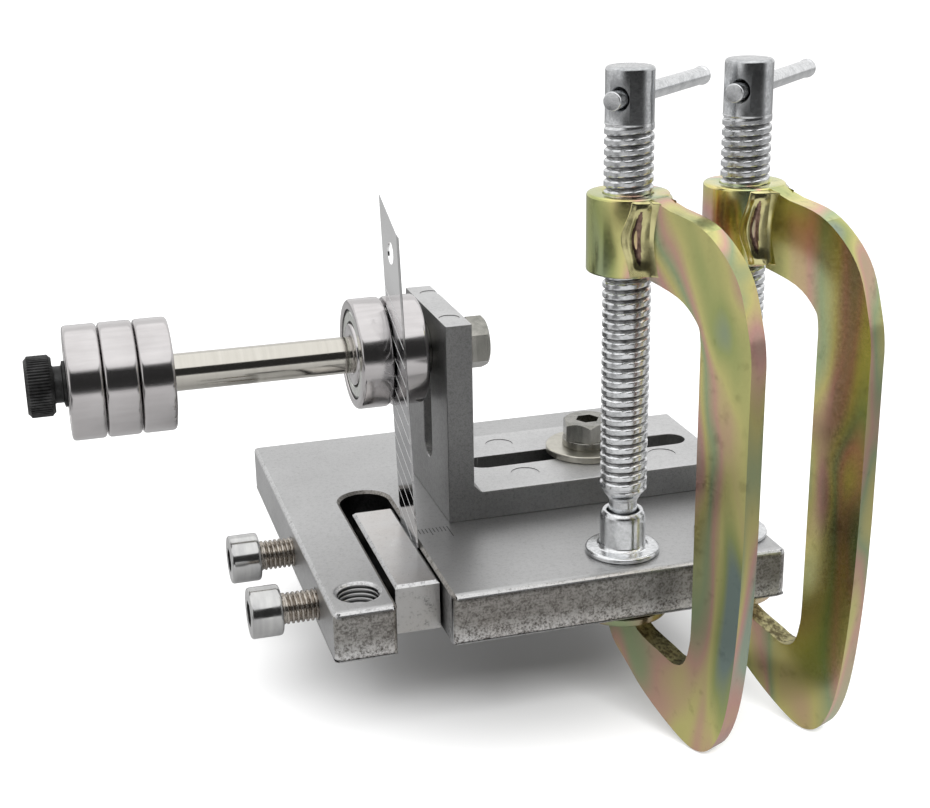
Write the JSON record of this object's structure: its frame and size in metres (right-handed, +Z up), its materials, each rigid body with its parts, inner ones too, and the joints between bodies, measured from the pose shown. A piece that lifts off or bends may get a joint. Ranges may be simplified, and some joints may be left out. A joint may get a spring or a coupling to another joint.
{
  "type": "leather strap cutting machine",
  "caption": "Bench tool that slits leather straps: slotted steel base with an upright blade, sliding fence, ball-bearing rollers on a spindle and screw clamps.",
  "frame": {"origin": "middle of the base plate's underside", "axes": "+X right along the plate's front edge and along the spindle, +Y back in the direction the strap is pulled from, +Z up"},
  "size_m": [0.2082, 0.1457, 0.1697],
  "materials": {
    "plate_steel": "satin with a pitted cast front and bright worn bevels",
    "block_steel": "ground",
    "screw_stainless": "bright",
    "blade_steel": "ground and oiled",
    "fence_cast": "grainy cast grey",
    "bolt_steel": "satin",
    "washer_zinc": "pale yellow zinc",
    "spindle_chrome": "polished",
    "black_oxide": "black oxide, satin",
    "bearing_chrome": "polished",
    "cage_brass": "pressed",
    "zinc_yellow": "iridescent yellow zinc",
    "zinc_bright": "bright zinc"
  },
  "bodies": {
    "base": {"base_plate": "plate_steel", "clamp_front_foot": "zinc_bright", "clamp_rear_foot": "zinc_bright"},
    "blade": {"blade": "blade_steel"},
    "blade_block": {"blade_block": "block_steel"},
    "block_screw_front": {"block_screw_front": "screw_stainless"},
    "block_screw_rear": {"block_screw_rear": "screw_stainless"},
    "fence": {"fence_bracket": "fence_cast"},
    "fence_washers": {"fence_washer": "washer_zinc", "fence_lock_washer": "bolt_steel"},
    "fence_bolt": {"fence_bolt": "bolt_steel"},
    "spindle": {"spindle_rod": "spindle_chrome", "spindle_spacer": "spindle_chrome", "roller_inner_ring_1": "bearing_chrome", "roller_inner_ring_2": "bearing_chrome", "roller_inner_ring_3": "bearing_chrome"},
    "spindle_bolt": {"spindle_bolt": "bolt_steel", "spindle_lock_washer": "bolt_steel", "spindle_washer": "washer_zinc"},
    "end_screw": {"end_screw": "black_oxide"},
    "blade_rollers": {"roller_shim": "spindle_chrome", "roller_inner_ring_4": "bearing_chrome", "roller_inner_ring_5": "bearing_chrome"},
    "roller_1": {"roller_outer_ring_1": "bearing_chrome", "roller_shields_1": "bearing_chrome"},
    "ball_set_1": {"ball_cage_1": "cage_brass", "balls_1": "bearing_chrome"},
    "roller_2": {"roller_outer_ring_2": "bearing_chrome", "roller_shields_2": "bearing_chrome"},
    "ball_set_2": {"ball_cage_2": "cage_brass", "balls_2": "bearing_chrome"},
    "roller_3": {"roller_outer_ring_3": "bearing_chrome", "roller_shields_3": "bearing_chrome"},
    "ball_set_3": {"ball_cage_3": "cage_brass", "balls_3": "bearing_chrome"},
    "roller_4": {"roller_outer_ring_4": "bearing_chrome", "roller_shields_4": "bearing_chrome"},
    "ball_set_4": {"ball_cage_4": "cage_brass", "balls_4": "bearing_chrome"},
    "roller_5": {"roller_outer_ring_5": "bearing_chrome", "roller_shields_5": "bearing_chrome"},
    "ball_set_5": {"ball_cage_5": "cage_brass", "balls_5": "bearing_chrome"},
    "clamp_front_jaw": {"clamp_front_frame": "zinc_yellow", "clamp_front_collar": "zinc_yellow", "clamp_front_pad": "zinc_yellow"},
    "clamp_front_screw": {"clamp_front_screw": "zinc_bright"},
    "clamp_front_bar": {"clamp_front_bar": "zinc_bright"},
    "clamp_rear_jaw": {"clamp_rear_frame": "zinc_yellow", "clamp_rear_collar": "zinc_yellow", "clamp_rear_pad": "zinc_yellow"},
    "clamp_rear_screw": {"clamp_rear_screw": "zinc_bright"},
    "clamp_rear_bar": {"clamp_rear_bar": "zinc_bright"}
  },
  "joints": [
    {"name": "blade_slide", "type": "slide", "parent": "base", "child": "blade", "axis": [0, 0.1392, 0.9903], "range_m": [0, 0.06]},
    {"name": "block_slide", "type": "slide", "parent": "base", "child": "blade_block", "axis": [1, 0, 0], "range_m": [-0.00125, 0]},
    {"name": "block_screw_front_turn", "type": "hinge", "parent": "blade_block", "child": "block_screw_front", "pos_m": [-0.06, -0.0375, 0.0059], "axis": [1, 0, 0], "range_deg": [-370, 10]},
    {"name": "block_screw_rear_turn", "type": "hinge", "parent": "blade_block", "child": "block_screw_rear", "pos_m": [-0.06, -0.004, 0.0059], "axis": [1, 0, 0], "range_deg": [-370, 10]},
    {"name": "fence_slide", "type": "slide", "parent": "base", "child": "fence", "axis": [1, 0, 0], "range_m": [0, 0.026]},
    {"name": "fence_washer_lift", "type": "slide", "parent": "base", "child": "fence_washers", "axis": [0, 0, 1], "range_m": [0, 0.00125]},
    {"name": "fence_bolt_turn", "type": "hinge", "parent": "fence_washers", "child": "fence_bolt", "pos_m": [0.029, 0.005, 0.0257], "axis": [0, 0, 1], "range_deg": [-10, 370]},
    {"name": "spindle_slide", "type": "slide", "parent": "fence", "child": "spindle", "axis": [0, 0, 1], "range_m": [-0.0255, 0.001]},
    {"name": "spindle_bolt_turn", "type": "hinge", "parent": "spindle", "child": "spindle_bolt", "pos_m": [-0.0113, 0.005, 0.0575], "axis": [1, 0, 0], "range_deg": [-180, 0]},
    {"name": "end_screw_turn", "type": "hinge", "parent": "spindle", "child": "end_screw", "pos_m": [-0.1147, 0.005, 0.0575], "axis": [1, 0, 0], "range_deg": [0, 180]},
    {"name": "blade_roller_slide", "type": "slide", "parent": "spindle", "child": "blade_rollers", "axis": [1, 0, 0], "range_m": [-0.0261, 0.0001]},
    {"name": "roller_1_spin", "type": "hinge", "parent": "spindle", "child": "roller_1", "pos_m": [-0.1102, 0.005, 0.0575], "axis": [1, 0, 0], "continuous": true},
    {"name": "ball_set_1_spin", "type": "hinge", "parent": "spindle", "child": "ball_set_1", "pos_m": [-0.1102, 0.005, 0.0575], "axis": [1, 0, 0], "continuous": true},
    {"name": "roller_2_spin", "type": "hinge", "parent": "spindle", "child": "roller_2", "pos_m": [-0.1012, 0.005, 0.0575], "axis": [1, 0, 0], "continuous": true},
    {"name": "ball_set_2_spin", "type": "hinge", "parent": "spindle", "child": "ball_set_2", "pos_m": [-0.1012, 0.005, 0.0575], "axis": [1, 0, 0], "continuous": true},
    {"name": "roller_3_spin", "type": "hinge", "parent": "spindle", "child": "roller_3", "pos_m": [-0.0922, 0.005, 0.0575], "axis": [1, 0, 0], "continuous": true},
    {"name": "ball_set_3_spin", "type": "hinge", "parent": "spindle", "child": "ball_set_3", "pos_m": [-0.0922, 0.005, 0.0575], "axis": [1, 0, 0], "continuous": true},
    {"name": "roller_4_spin", "type": "hinge", "parent": "blade_rollers", "child": "roller_4", "pos_m": [-0.0351, 0.005, 0.0575], "axis": [1, 0, 0], "continuous": true},
    {"name": "ball_set_4_spin", "type": "hinge", "parent": "blade_rollers", "child": "ball_set_4", "pos_m": [-0.0351, 0.005, 0.0575], "axis": [1, 0, 0], "continuous": true},
    {"name": "roller_5_spin", "type": "hinge", "parent": "blade_rollers", "child": "roller_5", "pos_m": [-0.0254, 0.005, 0.0575], "axis": [1, 0, 0], "continuous": true},
    {"name": "ball_set_5_spin", "type": "hinge", "parent": "blade_rollers", "child": "ball_set_5", "pos_m": [-0.0254, 0.005, 0.0575], "axis": [1, 0, 0], "continuous": true},
    {"name": "clamp_front_opening", "type": "slide", "parent": "base", "child": "clamp_front_jaw", "axis": [0, 0, 1], "range_m": [-0.057, 0]},
    {"name": "clamp_front_screw_turn", "type": "hinge", "parent": "base", "child": "clamp_front_screw", "pos_m": [0.0193, -0.0469, 0.0315], "axis": [0, 0, 1], "range_deg": [0, 270]},
    {"name": "clamp_front_bar_slide", "type": "slide", "parent": "clamp_front_screw", "child": "clamp_front_bar", "axis": [0.749, 0.6626, 0], "range_m": [-0.0325, 0]},
    {"name": "clamp_rear_opening", "type": "slide", "parent": "base", "child": "clamp_rear_jaw", "axis": [0, 0, 1], "range_m": [-0.057, 0]},
    {"name": "clamp_rear_screw_turn", "type": "hinge", "parent": "base", "child": "clamp_rear_screw", "pos_m": [0.0505, -0.0457, 0.0315], "axis": [0, 0, 1], "range_deg": [0, 25]},
    {"name": "clamp_rear_bar_slide", "type": "slide", "parent": "clamp_rear_screw", "child": "clamp_rear_bar", "axis": [0.7373, 0.6756, 0], "range_m": [-0.0325, 0]}
  ],
  "couplings": [
    {"joint": "ball_set_1_spin", "follows": "roller_1_spin", "ratio": 0.619},
    {"joint": "ball_set_2_spin", "follows": "roller_2_spin", "ratio": 0.619},
    {"joint": "ball_set_3_spin", "follows": "roller_3_spin", "ratio": 0.619},
    {"joint": "ball_set_4_spin", "follows": "roller_4_spin", "ratio": 0.619},
    {"joint": "ball_set_5_spin", "follows": "roller_5_spin", "ratio": 0.619},
    {"joint": "block_screw_front_turn", "follows": "block_slide", "rad_per_m": 5026.5},
    {"joint": "block_screw_rear_turn", "follows": "block_slide", "rad_per_m": 5026.5},
    {"joint": "fence_bolt_turn", "follows": "fence_washer_lift", "rad_per_m": 5026.5},
    {"joint": "blade_roller_slide", "follows": "fence_slide", "ratio": -1}
  ]
}
